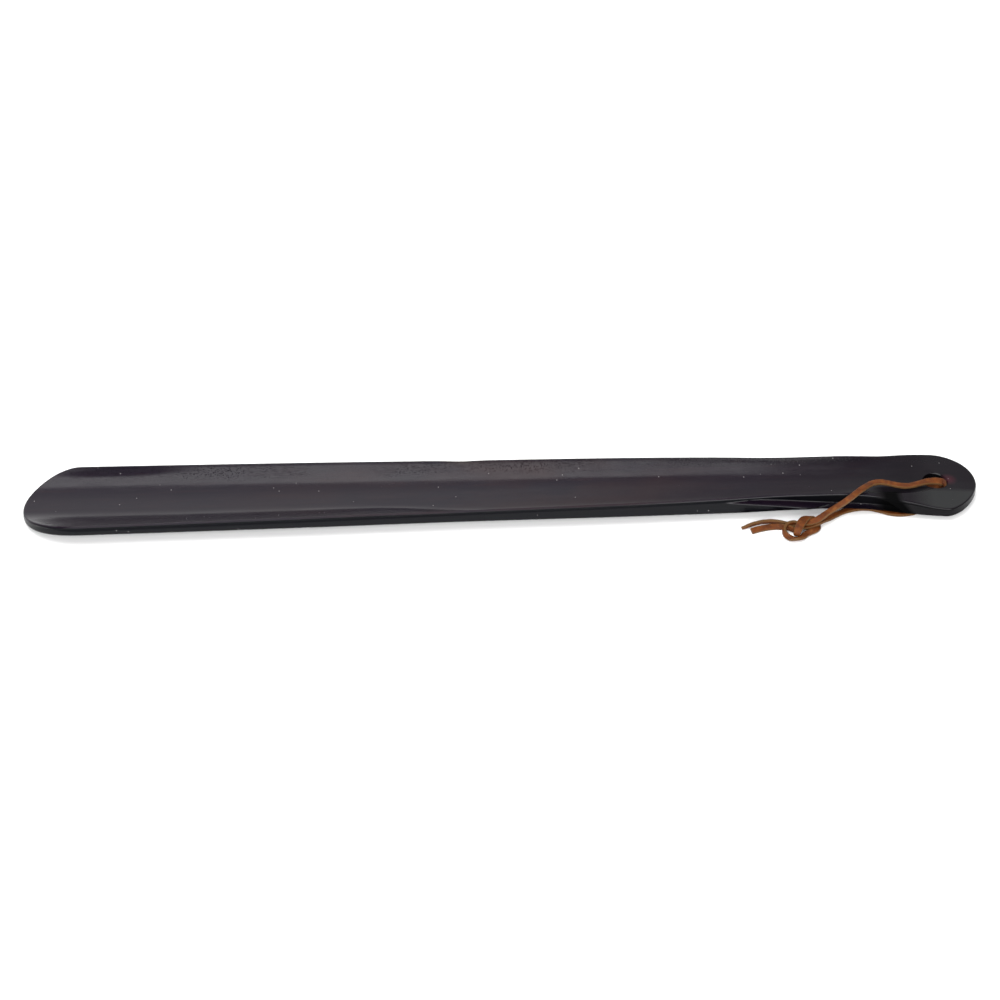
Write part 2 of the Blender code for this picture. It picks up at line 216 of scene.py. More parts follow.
def skin_band(bm, uv_layer, number, ring, following):
    """Faces between two neighbouring rings, with UVs in millimetres along the lace and round it."""
    for k in range(len(ring)):
        j = (k + 1) % len(ring)
        quad = bm.faces.new((ring[k], ring[j], following[j], following[k]))
        quad.smooth = True
        spots = ((number, k), (number, k + 1), (number + 1, k + 1), (number + 1, k))
        for loop, (row, column) in zip(quad.loops, spots):
            loop[uv_layer].uv = (row * RING_STEP_MM, column * SECTION_STEP_MM)


def close_end(bm, edge_layer, ring):
    """A flat fan over one end of the lace."""
    middle = bm.verts.new(sum((vert.co for vert in ring), Vector()) / len(ring))
    middle[edge_layer] = 1.0
    for k in range(len(ring)):
        bm.faces.new((ring[k], ring[(k + 1) % len(ring)], middle))


def make_lace(name, route, end_cut, shift):
    """One half of the leather strip as a closed mesh; shift picks the stretch of noise that it is worn by."""
    rings, length = lace_rings(route)
    section = lace_section()
    bm = bmesh.new()
    uv_layer = bm.loops.layers.uv.new("along")
    edge_layer = bm.verts.layers.float.new("edge")
    grid = []
    for number, ring in enumerate(rings):
        along = length * number / (len(rings) - 1)
        points = lace_ring(ring, section, along, length - along, end_cut, shift)
        grid.append([bm.verts.new(point * MM) for point in points])
        for vert, (across, deep, edge) in zip(grid[-1], section):
            vert[edge_layer] = edge
    for number, (ring, following) in enumerate(zip(grid, grid[1:])):
        skin_band(bm, uv_layer, number, ring, following)
    for ring in (grid[0], grid[-1]):
        close_end(bm, edge_layer, ring)
    bmesh.ops.recalc_face_normals(bm, faces=bm.faces)
    path = [tuple(centre * MM) for centre, tangent, face, width in rings]
    return add_object(name, bm), path, length * MM


def square_cut(to_end):
    """The near tail is cut square, so it keeps its whole width up to the end."""
    return 1.0


def pointed_cut(to_end):
    """The far tail narrows to a blunt point over its last millimetres."""
    return 1.0 if to_end > POINT_MM else POINT_SHARE + (1 - POINT_SHARE) * to_end / POINT_MM


# ---------------------------------------------------------------- the wooden body

# Places and profiles along the body, in millimetres from the blade tip.
LENGTH_MM = 390.0
TIP_LENGTH_MM = 24.0
HEAD_CURVE_FAR = (21.0, 2.1)
HEAD_CURVE_NEAR = (14.2, 1.62)
LIP_MM = 1.0
TOP_EDGE_MM = 0.8
BOTTOM_EDGE_MM = 0.9
HOLE_RADIUS_MM = 5.0
HOLE_X_MM = 372.8
HOLE_FLARE_MM = 0.45
CREASE_MM = 0.2              # how sharply the trough meets the head's slope

HALF_WIDTH = [(24, 21.2), (60, 20.6), (120, 19.4), (180, 17.8), (240, 16.5), (280, 15.0),
              (314, 13.3), (328, 13.3), (344, 13.9), (360, 16.0), (373, 18.2), (378, 18.7), (390, 18.7)]
RIM_HEIGHT = [(0, 9.6), (345, 11.8), (390, 12.0)]
TROUGH_DEPTH = [(0, 5.4), (120, 5.3), (240, 5.0), (320, 4.7), (390, 4.7)]
TROUGH_POWER_FAR = [(0, 3.1), (150, 2.9), (230, 3.0), (285, 3.4), (345, 3.0), (390, 2.0)]
TROUGH_POWER_NEAR = [(0, 3.1), (120, 3.1), (190, 7.0), (322, 6.0), (352, 2.2), (390, 2.0)]
CHAMFER_SLOPE = [(0, 0.36), (20, 0.38), (75, 0.44), (128, 0.48), (200, 0.52)]   # the blade's near wall
CHAMFER_END = (140.0, 195.0)   # where that straight cut begins to sink, and where it has sunk
CHAMFER_SINK_MM = 2.5
CHAMFER_BLEND_MM = 1.2       # rounding between the straight cut and the trough's floor
UNDERCUT_MM = 0.5            # how far the rim overhangs the side walls
UNDERCUT_RUN = 0.22          # share of the side's height over which it gets there
GROOVE = (38.0, 27.0, 0.14)   # centre, half length and depth of a scrape along the far wall by the tip
GROOVE_LINE = 0.885          # its place across, as a share of the trough's half width
GROOVE_HALF_MM = 0.75
HEAD_DROP = [(333, 0.0), (344, 0.8), (352, 1.8), (361, 3.1), (372, 4.9), (382, 5.6), (390, 5.7)]
CROWN_MM = 0.5               # ridge that parts the head's near facet from the rest of its top
CROWN_Y = -5.5
HEAD_TILT_MM = 0.9           # how much higher the head's far edge is than its middle
HEAD_TILT_RISE = (350.0, 18.0)     # where the tilt starts, and over what length it grows
HEAD_SLOPE = 0.15            # fall of the head's top by the hole
FAR_HOLLOW_START = (334.0, 16.0)   # where the far wall runs on into the head as a hollow, and its fade-in
FAR_HOLLOW_POWER = (3.0, 1.4)      # its section is steep at first and gentle at the end
FAR_HOLLOW_EASING = (338.0, 24.0)
RIM_DENT = (179.0, 7.0, 0.4)  # centre, half length and depth of the worn dent in the far rim
SPINE_BOTTOM = [(0, 1.6), (24, 0.0), (258, 0.0), (345, 2.4), (390, 2.4)]
SIDE_BOTTOM = [(0, 6.2), (110, 6.1), (175, 5.9), (235, 5.4), (279, 4.7), (300, 4.1), (330, 4.2),
               (344, 3.6), (352, 3.1), (360, 2.6), (390, 2.6)]
STRIP_HALF = [(0, 3.5), (200, 4.5), (300, 5.5), (335, 6.0), (348, 8.0), (362, 16.0), (390, 16.0)]
BELLY_POWER = 1.6            # how the underside rises from the flat strip to the foot of the walls
COVE_DEPTH_MM = 3.6
COVE_START = (268.0, 50.0)   # where the carved-in side begins at the rim, and how much later at the foot
COVE_END = (351.0, 9.0)
COVE_FADE_IN = 16.0
COVE_FADE_OUT = 5.0
COVE_RIM = (0.05, 0.3)       # where its sharp hollow under the rim starts, and over what share of the height
COVE_RIM_SHARE = 0.5         # that hollow's share of the whole depth

# Fineness of the mesh.
HEAD_START = 330.0           # closer stations from here
SHOULDER = 364.5             # the last station that the two sides share
BLADE_STEP_MM = 1.5
HEAD_STEP_MM = 0.6
NEAR_EXTRA = 14              # the near side stays straight for as many stations more, less one
END_STEPS = 26
EDGE_STEPS = 3
SIDE_ROWS = 26
TOP_COLUMNS = 64
BELLY_COLUMNS = 30
HOLE_SIDES = 64
HOLE_TOP_Y = 7.0             # where the height of the hole's upper mouth is read
ANGLE_STEP = 0.01
SHARP_ANGLE = 38.0           # degrees


def profile(points, x):
    """Smooth monotone curve through (x, value) pairs."""
    x = min(max(x, points[0][0]), points[-1][0])
    slopes = [(b[1] - a[1]) / (b[0] - a[0]) for a, b in zip(points, points[1:])]
    tangents = [slopes[0]]
    for left, right in zip(slopes, slopes[1:]):
        tangents.append(2 * left * right / (left + right) if left * right > 0 else 0.0)
    tangents.append(slopes[-1])
    i = max(k for k in range(len(points) - 1) if points[k][0] <= x)
    (x0, y0), (x1, y1) = points[i], points[i + 1]
    h = x1 - x0
    t = (x - x0) / h
    return (y0 * (1 + 2 * t) * (1 - t) ** 2 + y1 * t * t * (3 - 2 * t)
            + h * tangents[i] * t * (1 - t) ** 2 - h * tangents[i + 1] * t * t * (1 - t))


def ease(t):
    """0 below 0, 1 above 1, smooth between."""
    t = min(max(t, 0.0), 1.0)
    return t * t * (3 - 2 * t)


def blend(x, span):
    """0 to 1 from a place along the body over a length, given as a pair."""
    return ease((x - span[0]) / span[1])


def soft_min(a, b, radius):
    """The lower of two heights, with the crease between them rounded."""
    overlap = max(radius - abs(a - b), 0.0) / radius
    return min(a, b) - overlap * overlap * radius / 4


def tool_marks(x, y):
    """Hand-carving unevenness of the upper surface: long shallow gouge runs and broad waves."""
    broad = noise.noise(Vector((x / 42.0, y / 11.0, 3.1)))
    runs = noise.noise(Vector((x / 95.0, y / 2.6, 8.4)))
    return 0.05 * broad + 0.015 * runs


def crown(x, y):
    """Height of the low ridge on the head, which falls to nothing at both rims and at the end."""
    half = profile(HALF_WIDTH, x)
    share = (half + y) / (half + CROWN_Y) if y < CROWN_Y else (half - y) / (half - CROWN_Y)
    return CROWN_MM * max(share, 0.0) * ease((LENGTH_MM - 2 - x) / 9)


def near_cut(x, y):
    """Height of the straight cut that makes the blade's near wall, which sinks away towards the grip."""
    rim = profile(RIM_HEIGHT, x)
    wall = profile(HALF_WIDTH, x) - LIP_MM
    start, stop = CHAMFER_END
    return rim - profile(CHAMFER_SLOPE, x) * (wall + y) - CHAMFER_SINK_MM * ease((x - start) / (stop - start))


def far_wear(x, y, wall):
    """How much lower the far wall is for the worn dent in its rim and the scrape by the tip."""
    center, reach, dent = RIM_DENT
    worn = dent * math.exp(-((x - center) / reach) ** 2) * ease(min(y / wall, 1.0) * 2.5 - 1.5)
    center, reach, deep = GROOVE
    line = GROOVE_LINE * wall + 0.3 * math.sin(x / 6.0)
    return worn + deep * math.exp(-((y - line) / GROOVE_HALF_MM) ** 2) * ease(2 - 2 * abs(x - center) / reach)


def trough_height(x, y):
    """The gouged trough: a curved far wall, and a near wall straight along the blade, steep by the grip."""
    rim = profile(RIM_HEIGHT, x)
    wall = profile(HALF_WIDTH, x) - LIP_MM
    across = min(abs(y) / wall, 1.0)
    hollow = 1 - across ** profile(TROUGH_POWER_FAR if y > 0 else TROUGH_POWER_NEAR, x)
    height = rim - profile(TROUGH_DEPTH, x) * hollow + tool_marks(x, y) * min(1.0, hollow * 3)
    if y > 0:
        return height - far_wear(x, y, wall)
    return -soft_min(-height, -near_cut(x, y), CHAMFER_BLEND_MM)


def top_height(x, y):
    """Height of the upper surface: the trough, or the sloping flat of the head where that is lower."""
    trough = trough_height(x, y)
    if x < HEAD_START:
        return trough
    rim = profile(RIM_HEIGHT, x)
    drop = profile(HEAD_DROP, x)
    tilt = HEAD_TILT_MM * max(y, 0.0) / profile(HALF_WIDTH, x) * blend(x, HEAD_TILT_RISE)
    planed = rim - drop + crown(x, y) + tilt + 0.03 * noise.noise(Vector((x / 13.0, y / 7.0, 1.7)))
    surface = soft_min(trough, planed, CREASE_MM)
    depth = profile(TROUGH_DEPTH, x)
    if y <= 0 or drop >= depth:
        return surface
    across = min(y / (profile(HALF_WIDTH, x) - LIP_MM), 1.0)
    steep, gentle = FAR_HOLLOW_POWER
    power = steep + (gentle - steep) * blend(x, FAR_HOLLOW_EASING)
    hollow = rim - depth + tilt + (depth - drop) * across ** power
    return surface + (hollow - surface) * blend(x, FAR_HOLLOW_START)


def bottom_height(x, y):
    """Height of the underside: a flat strip along the spine, rising to the foot of the side walls."""
    strip = profile(STRIP_HALF, x)
    spine = profile(SPINE_BOTTOM, x)
    outward = min(max((abs(y) - strip) / (profile(HALF_WIDTH, x) - strip), 0.0), 1.0)
    return spine + (profile(SIDE_BOTTOM, x) - spine) * outward ** BELLY_POWER


def cove(x, down):
    """How far the grip's side is carved in at x, where down runs from 0 at the rim to 1 at the foot."""
    begin = ease((x - COVE_START[0] - COVE_START[1] * down) / COVE_FADE_IN)
    end = ease((COVE_END[0] + COVE_END[1] * down - x) / COVE_FADE_OUT)
    under_rim = ease((down - COVE_RIM[0]) / COVE_RIM[1])
    return COVE_DEPTH_MM * begin * end * (COVE_RIM_SHARE * under_rim + (1 - COVE_RIM_SHARE) * down)


def rounded_end(x_end, direction, length, power, angle):
    """Point on a curved end of the plan outline; angle runs from 0 at its extreme to a quarter turn."""
    x = x_end + direction * length * (1 - max(math.cos(angle), 0.0) ** (2 / power))
    return Vector((x, profile(HALF_WIDTH, x) * math.sin(angle) ** (2 / power)))


def end_point(x_end, direction, length, power, angle):
    """Point on a curved end and the outward normal there."""
    if angle < ANGLE_STEP:
        return Vector((x_end, 0.0)), Vector((-direction, 0.0))
    ahead = rounded_end(x_end, direction, length, power, min(angle + ANGLE_STEP, math.pi / 2))
    behind = rounded_end(x_end, direction, length, power, angle - ANGLE_STEP)
    along = (ahead - behind) * direction
    return rounded_end(x_end, direction, length, power, angle), Vector((-along.y, along.x)).normalized()


def side_point(x):
    """Point on the long side of the plan outline and the outward normal there."""
    rise = profile(HALF_WIDTH, x + 0.5) - profile(HALF_WIDTH, x - 0.5)
    return Vector((x, profile(HALF_WIDTH, x))), Vector((-rise, 1.0)).normalized()


def stations(start, stop, step):
    """Evenly spaced places along the body, both ends included."""
    count = max(1, round((stop - start) / step))
    return [start + (stop - start) * k / count for k in range(count + 1)]


def outline_rows():
    """Pairs of matching far and near points of the plan outline, from the blade tip to the head's end."""
    tip = [end_point(0.0, 1, TIP_LENGTH_MM, 2.0, math.pi / 2 * k / END_STEPS) for k in range(END_STEPS)]
    shared = stations(TIP_LENGTH_MM, HEAD_START, BLADE_STEP_MM)[:-1]
    shared += stations(HEAD_START, SHOULDER, HEAD_STEP_MM)
    sides = []
    for extra, (length, power) in ((0, HEAD_CURVE_FAR), (NEAR_EXTRA, HEAD_CURVE_NEAR)):
        straight = [SHOULDER + (LENGTH_MM - length - SHOULDER) * k / extra for k in range(1, extra)]
        steps = END_STEPS - len(straight)
        turns = [math.pi / 2 * k / steps for k in range(steps, -1, -1)]
        head = [end_point(LENGTH_MM, -1, length, power, turn) for turn in turns]
        sides.append(tip + [side_point(x) for x in shared + straight] + head)
    return list(zip(*sides))


def side_profile(point, normal, side):
    """One side of a section, from the upper inner edge round to the lower inner edge."""
    def place(inset, z_at):
        x, y = point - normal * inset
        return Vector((x, side * max(y, 0.0), z_at(x, side * y)))

    def at(inset, z):
        return place(inset, lambda x, y: z)

    top = place(TOP_EDGE_MM, top_height)
    bottom = place(BOTTOM_EDGE_MM, bottom_height)
    outline = [top]
    turns = [math.pi / 2 * k / EDGE_STEPS for k in range(1, EDGE_STEPS + 1)]
    for turn in turns:
        outline.append(at(TOP_EDGE_MM * (1 - math.sin(turn)), top.z - TOP_EDGE_MM * (1 - math.cos(turn))))
    upper, lower = top.z - TOP_EDGE_MM, bottom.z + BOTTOM_EDGE_MM
    for k in range(1, SIDE_ROWS + 1):
        down = k / SIDE_ROWS
        undercut = UNDERCUT_MM * ease(down / UNDERCUT_RUN) * (1 - down)
        outline.append(at(max(cove(point.x, down), undercut), upper + (lower - upper) * down))
    foot = cove(point.x, 1.0)
    for turn in turns:
        outline.append(at(foot + (BOTTOM_EDGE_MM - foot) * (1 - math.cos(turn)),
                          lower - BOTTOM_EDGE_MM * math.sin(turn)))
    return outline


def across_strip(first, last, steps, height):
    """Points between two edges of a section, closer together near the edges, on a given surface."""
    points = []
    for k in range(1, steps):
        share = 0.5 - 0.5 * math.cos(math.pi * k / steps)
        x, y = first.x + (last.x - first.x) * share, first.y + (last.y - first.y) * share
        points.append(Vector((x, y, height(x, y))))
    return points


def section_loop(far, near):
    """One closed section of the body, round from the far upper edge by way of the near side."""
    far_side = side_profile(*far, 1)
    near_side = side_profile(*near, -1)
    trough = across_strip(far_side[0], near_side[0], TOP_COLUMNS, top_height)
    belly = across_strip(near_side[-1], far_side[-1], BELLY_COLUMNS, bottom_height)
    return [far_side[0]] + trough + near_side + belly + far_side[:0:-1]


def skin(bm, rings):
    """Faces between closed rings of points, each with as many points as the next."""
    for ring, following in zip(rings, rings[1:]):
        for k in range(len(ring)):
            j = (k + 1) % len(ring)
            bm.faces.new((ring[k], ring[j], following[j], following[k]))


def hole_levels():
    """The hole's (height, radius, share of the head's slope) from below upwards, flared at both mouths."""
    top, bottom = top_height(HOLE_X_MM, HOLE_TOP_Y), bottom_height(HOLE_X_MM, 0.0)
    radius, flare = HOLE_RADIUS_MM, HOLE_FLARE_MM
    return [(bottom - 3, radius + flare, 0), (bottom, radius + flare * 0.6, 0),
            (bottom + 0.25, radius + 0.1, 0), (bottom + 0.6, radius, 0),
            (top - 0.7, radius, 1), (top - 0.3, radius + 0.12, 1),
            (top, radius + flare, 1), (top + 3, radius + flare * 3, 1)]


def hole_cutter():
    """The hanging hole as a solid; its upper mouth follows the slope of the head's top."""
    bm = bmesh.new()
    rings = []
    for z, radius, sheared in hole_levels():
        ring = []
        for k in range(HOLE_SIDES):
            turn = 2 * math.pi * k / HOLE_SIDES
            out = radius * (1 + 0.006 * math.sin(3 * turn + 1.0))
            x = out * math.cos(turn)
            place = (HOLE_X_MM - LENGTH_MM / 2 + x, out * math.sin(turn), z - HEAD_SLOPE * x * sheared)
            ring.append(bm.verts.new(Vector(place) * MM))
        rings.append(ring)
    skin(bm, rings)
    bm.faces.new(rings[0][::-1])
    bm.faces.new(rings[-1])
    return add_object("hole_cutter", bm)


def cut_hole(body):
    """Cut the hanging hole through the body."""
    cutter = hole_cutter()
    cut = body.modifiers.new("hanging_hole", "BOOLEAN")
    cut.operation = "DIFFERENCE"
    cut.object = cutter
    bpy.context.view_layer.objects.active = body
    body.select_set(True)
    bpy.ops.object.modifier_apply(modifier=cut.name)
    bpy.data.objects.remove(cutter)


def make_body():
    """The carved body as one closed mesh."""
    bm = bmesh.new()
    rings = []
    for far, near in outline_rows():
        loop = section_loop(far, near)
        rings.append([bm.verts.new(Vector((p.x - LENGTH_MM / 2, p.y, p.z)) * MM) for p in loop])
    skin(bm, rings)
    bmesh.ops.remove_doubles(bm, verts=bm.verts, dist=2e-6)
    bmesh.ops.dissolve_degenerate(bm, edges=bm.edges, dist=1e-6)
    bmesh.ops.recalc_face_normals(bm, faces=bm.faces)
    body = add_object("carved_body", bm)
    cut_hole(body)
    body.data.shade_smooth()
    body.data.set_sharp_from_angle(angle=math.radians(SHARP_ANGLE))
    return body


# ---------------------------------------------------------------- materials

class Nodes:
    """Short-hand for building one material's node tree."""

    def __init__(self, name):
        self.material = bpy.data.materials.new(name)
        self.material.use_nodes = True
        self.tree = self.material.node_tree
        self.shader = self.tree.nodes["Principled BSDF"]

    def add(self, kind, settings=None, **inputs):
        """A node with properties from settings; inputs are values or sockets, with _ for a space."""
        node = self.tree.nodes.new(kind)
        for key, value in (settings or {}).items():
            setattr(node, key, value)
        for key, value in inputs.items():
            self.put(node, key.replace("_", " "), value)
        return node

    def put(self, node, key, value):
        """Set or link one input, found by name or by number."""
        socket = node.inputs[int(key[3:])] if key.startswith("at ") else node.inputs[key]
        if isinstance(value, bpy.types.NodeSocket):
            self.tree.links.new(value, socket)
        else:
            socket.default_value = value

    def noise(self, vector, scale, detail=3.0, roughness=0.5):
        """Noise value between 0 and 1."""
        return self.add("ShaderNodeTexNoise", Vector=vector, Scale=scale, Detail=detail,
                        Roughness=roughness).outputs["Fac"]

    def stretch(self, vector, scale):
        """Coordinates scaled differently along each axis."""
        return self.add("ShaderNodeMapping", Vector=vector, Scale=scale).outputs["Vector"]

    def ramp(self, value, stops):
        """Colour from (position, colour) stops."""
        node = self.add("ShaderNodeValToRGB", Fac=value)
        ramp = node.color_ramp
        while len(ramp.elements) < len(stops):
            ramp.elements.new(0.5)
        for element, (position, color) in zip(ramp.elements, stops):
            element.position = position
            element.color = (*color, 1.0)
        return node.outputs["Color"]

    def span(self, value, low, high, to_low=0.0, to_high=1.0):
        """Value mapped and clamped from one range to another."""
        node = self.add("ShaderNodeMapRange", {"clamp": True})
        for number, item in enumerate((value, low, high, to_low, to_high)):
            self.put(node, f"at {number}", item)
        return node.outputs[0]

    def math(self, operation, a, b=0.0):
        """One arithmetic step."""
        node = self.add("ShaderNodeMath", {"operation": operation})
        self.put(node, "at 0", a)
        self.put(node, "at 1", b)
        return node.outputs[0]

    def both(self, a, b):
        """Where both masks are."""
        return self.math("MULTIPLY", a, b)

    def most(self, a, b):
        """Where either mask is."""
        return self.math("MAXIMUM", a, b)

    def mix(self, share, a, b):
        """Colour blend from a to b."""
        node = self.add("ShaderNodeMix", {"data_type": "RGBA"})
        for number, item in ((0, share), (6, a), (7, b)):
            self.put(node, f"at {number}", item)
        return node.outputs[2]

    def bump(self, layers):
        """Bumps stacked from (height, distance in metres) layers."""
        normal = None
        for height, distance in layers:
            node = self.add("ShaderNodeBump", Height=height, Distance=distance, Strength=1.0)
            if normal is not None:
                self.put(node, "Normal", normal)
            normal = node.outputs["Normal"]
        self.put(self.shader, "Normal", normal)

    def near_point(self, place, point, radius):
        """1 at a point of the object, fading to 0 at radius."""
        away = self.add("ShaderNodeVectorMath", {"operation": "DISTANCE"})
        self.put(away, "at 0", place)
        self.put(away, "at 1", point)
        return self.span(away.outputs["Value"], 0.0, radius, 1.0, 0.0)


# The wood's colours: albedo under the lacquer, nearly black everywhere.
STAIN = [(0.30, (0.0038, 0.0024, 0.0062)), (0.55, (0.0054, 0.0031, 0.0074)), (0.80, (0.0090, 0.0042, 0.0072))]
WARM_STAIN = (0.0110, 0.0040, 0.0060, 1.0)      # red-brown blotches in the middle of the trough
# painted shade: darker, bluer colour for faces that turn to the side, chosen by their facing
SIDE_SHADE = (0.0008, 0.0010, 0.0020, 1.0)
HEAD_STAIN = (0.0028, 0.0022, 0.0025, 1.0)
FACET_SHEEN = (0.0135, 0.0140, 0.0146, 1.0)     # painted reflection: a lighter grey on the head's near facet, standing for the sheen it catches
# painted shade: near-black colour for the dark notch under the lace, where the near rim ends at the head
NOTCH_SHADE = (0.0004, 0.0004, 0.0005, 1.0)
HOLE_GLOW = (0.040, 0.008, 0.014, 1.0)          # red wood that shows through by the hole
SCAR_COLOR = (0.020, 0.012, 0.008, 1.0)
PIT_COLOR = (0.0008, 0.0007, 0.0008, 1.0)
NIB_COLOR = (0.20, 0.19, 0.19, 1.0)

# Places on the body in metres; those for stretched coordinates are stretched too.
HOLE_GLOW_PLACE = (0.1835, 0.0012, 0.0068)
SCAR_STRETCH = (1.0, 3.0, 1.0)
SCAR_PLACE = (-0.0150, 0.0555, 0.0090)
DULL_STRETCH = (1.0, 15.0, 4.0)
DULL_PLACE = (-0.1560, 0.2730, 0.0320)
RIM_Z = (-0.195, 0.195, 0.0096, 0.0121)         # from x, to x, and about the rim's height at each

FULL_LEVEL = 0.5             # specular level of whole lacquer
THIN_LEVEL = 0.10            # and of bare or scuffed wood
LACQUER_IOR = 1.28


def wood_places(n):
    """The coordinates, facing directions and streaks that the wood's masks are made from."""
    coords = n.add("ShaderNodeTexCoord")
    place = coords.outputs["Object"]
    apart = n.add("ShaderNodeSeparateXYZ", Vector=place)
    facing = n.add("ShaderNodeSeparateXYZ", Vector=coords.outputs["Normal"])
    at = SimpleNamespace(place=place, facing_y=facing.outputs["Y"], upward=facing.outputs["Z"])
    at.x, at.y, at.z = (apart.outputs[axis] for axis in "XYZ")
    at.streaks = n.noise(n.stretch(place, (60.0, 700.0, 700.0)), 1.0, 4.0, 0.55)
    at.below_rim = n.math("SUBTRACT", n.span(at.x, *RIM_Z), at.z)
    at.dull = n.near_point(n.stretch(place, DULL_STRETCH), DULL_PLACE, 0.0340)
    return at


def stain_color(n, at):
    """Dark streaks, redder in the trough, with painted shade that makes the sides darker and bluer, a scar
    and a glow by the hole.
    """
    blotches = n.noise(n.stretch(at.place, (26.0, 60.0, 60.0)), 1.0, 3.0)
    middle = n.both(n.span(at.x, -0.12, 0.0, 0.15, 0.9), n.span(at.x, 0.04, 0.10, 1.0, 0.2))
    warm = n.both(n.span(blotches, 0.40, 0.70), middle)
    color = n.mix(warm, n.ramp(at.streaks, STAIN), WARM_STAIN)
    # painted shade: faces that turn sideways get the darker, bluer side colour
    color = n.mix(n.span(at.upward, 0.35, 0.85), SIDE_SHADE, color)
    color = n.mix(n.span(at.x, 0.10, 0.17, 0.0, 0.6), color, HEAD_STAIN)
    glow = n.near_point(at.place, HOLE_GLOW_PLACE, 0.0040)
    color = n.mix(n.both(glow, 0.8), color, HOLE_GLOW)
    scar = n.near_point(n.stretch(at.place, SCAR_STRETCH), SCAR_PLACE, 0.0110)
    return n.mix(n.both(scar, n.span(at.streaks, 0.35, 0.6)), color, SCAR_COLOR)


def pit_mask(n, at):
    """Open pores: patches of them along the far rim, and all over the dull place by the tip."""
    by_rim = n.both(n.span(at.y, 0.0100, 0.0145), n.span(at.z, 0.0060, 0.0080))
    patchy = n.both(by_rim, n.span(n.noise(n.stretch(at.place, (30.0, 90.0, 90.0)), 1.0), 0.30, 0.60))
    cells = n.add("ShaderNodeTexVoronoi", {"feature": "F1"}, Vector=at.place, Scale=1700.0)
    pits = n.span(cells.outputs["Distance"], 0.12, 0.42, 1.0, 0.0)
    return n.both(pits, n.most(patchy, n.span(at.dull, 0.05, 0.35)))


def nib_mask(n, at):
    """Dust nibs in the lacquer: small dots in one cell out of ten."""
    cells = n.add("ShaderNodeTexVoronoi", {"feature": "F1"}, Vector=at.place, Scale=430.0)
    chosen = n.span(n.add("ShaderNodeSeparateColor", Color=cells.outputs["Color"]).outputs[0], 0.90, 0.91)
    return n.both(n.span(cells.outputs["Distance"], 0.06, 0.13, 1.0, 0.0), chosen)


def facet_mask(n, at):
    """The planed facet on the near side of the head's top, which gets a painted reflection in its colour."""
    area = n.both(n.span(at.y, -0.0072, -0.0046, 1.0, 0.0), n.span(at.x, 0.166, 0.176))
    return n.both(area, n.span(at.upward, 0.8, 0.95))


def notch_mask(n, at):
    """The shaded notch where the near rim ends at the head; its end by the head is slanted."""
    slanted = n.math("ADD", at.x, n.math("MULTIPLY", at.z, 0.9))
    area = n.both(n.span(at.x, 0.150, 0.156), n.span(slanted, 0.1690, 0.1720, 1.0, 0.0))
    return n.both(area, n.span(at.y, -0.0092, -0.0080, 1.0, 0.0))


def rough_cut_mask(n, at):
    """The near wall's steep end next to the head, which faces the far side."""
    area = n.both(n.span(at.y, -0.001, -0.0005, 1.0, 0.0), n.span(at.facing_y, 0.06, 0.16))
    return n.both(n.span(at.x, 0.149, 0.156), area)


def under_rim_mask(n, at):
    """A worn line close under the rims, weaker along the blade than by the head."""
    line = n.both(n.span(at.below_rim, 0.0005, 0.0009), n.span(at.below_rim, 0.0017, 0.0024, 1.0, 0.0))
    line = n.both(line, n.span(at.upward, 0.25, 0.45, 1.0, 0.0))
    return n.both(line, n.span(at.x, 0.05, 0.12, 0.62, 0.9))


def thin_lacquer(n, at, pits, notch):
    """Where the lacquer is thin or gone: rough cuts, overhangs, pits and the dull place; the notch of painted
    shade is made rough and dull too.
    """
    overhang = n.both(n.span(at.x, 0.075, 0.10), n.span(at.upward, -0.30, -0.08, 1.0, 0.0))
    thin = n.most(n.most(rough_cut_mask(n, at), under_rim_mask(n, at)), n.most(overhang, pits))
    return n.most(n.most(thin, notch), n.span(at.dull, 0.0, 0.5, 0.0, 0.7))


def lacquer_shine(n, at, facet):
    """Share of the full specular level: less on the sides, on the blade's near lip and on the head's top."""
    lip = n.both(n.span(at.below_rim, 0.0004, 0.0007, 1.0, 0.0), n.span(at.facing_y, -0.22, -0.08, 1.0, 0.0))
    lip = n.both(lip, n.span(at.x, 0.045, 0.075, 1.0, 0.0))
    planed = n.both(n.span(at.x, 0.157, 0.168), n.math("SUBTRACT", 1.0, facet))
    shine = n.both(n.span(at.upward, 0.15, 0.5, 0.74, 1.0), n.span(lip, 0.0, 1.0, 1.0, 0.5))
    return n.both(shine, n.span(planed, 0.0, 1.0, 1.0, 0.78))


def lacquered_wood():
    """Near-black stained wood under gloss lacquer."""
    n = Nodes("lacquered_wood")
    at = wood_places(n)
    pits, nibs, facet, notch = pit_mask(n, at), nib_mask(n, at), facet_mask(n, at), notch_mask(n, at)
    color = n.mix(n.both(pits, 0.75), stain_color(n, at), PIT_COLOR)
    color = n.mix(n.both(nibs, 0.7), color, NIB_COLOR)
    # painted reflection: the near facet is coloured lighter grey for the sheen it catches
    color = n.mix(facet, color, FACET_SHEEN)
    # painted shade: the notch under the lace is coloured near-black
    n.put(n.shader, "Base Color", n.mix(notch, color, NOTCH_SHADE))
    thin = thin_lacquer(n, at, pits, notch)
    rough = n.span(n.noise(n.stretch(at.place, (90.0, 420.0, 420.0)), 1.0, 4.0), 0.3, 0.75, 0.17, 0.28)
    rough = n.math("ADD", rough, n.both(n.most(pits, nibs), 0.30))
    n.put(n.shader, "Roughness", n.math("ADD", rough, n.both(thin, 0.6)))
    level = n.span(thin, 0.0, 1.0, FULL_LEVEL, THIN_LEVEL)
    n.put(n.shader, "Specular IOR Level", n.both(lacquer_shine(n, at, facet), level))
    n.shader.inputs["IOR"].default_value = LACQUER_IOR
    n.bump([(at.streaks, 0.00002), (n.math("SUBTRACT", nibs, pits), 0.00005),
            (n.noise(at.place, 900.0, 2.0), 0.000006), (n.noise(at.place, 130.0, 2.0), 0.00003)])
    return n.material


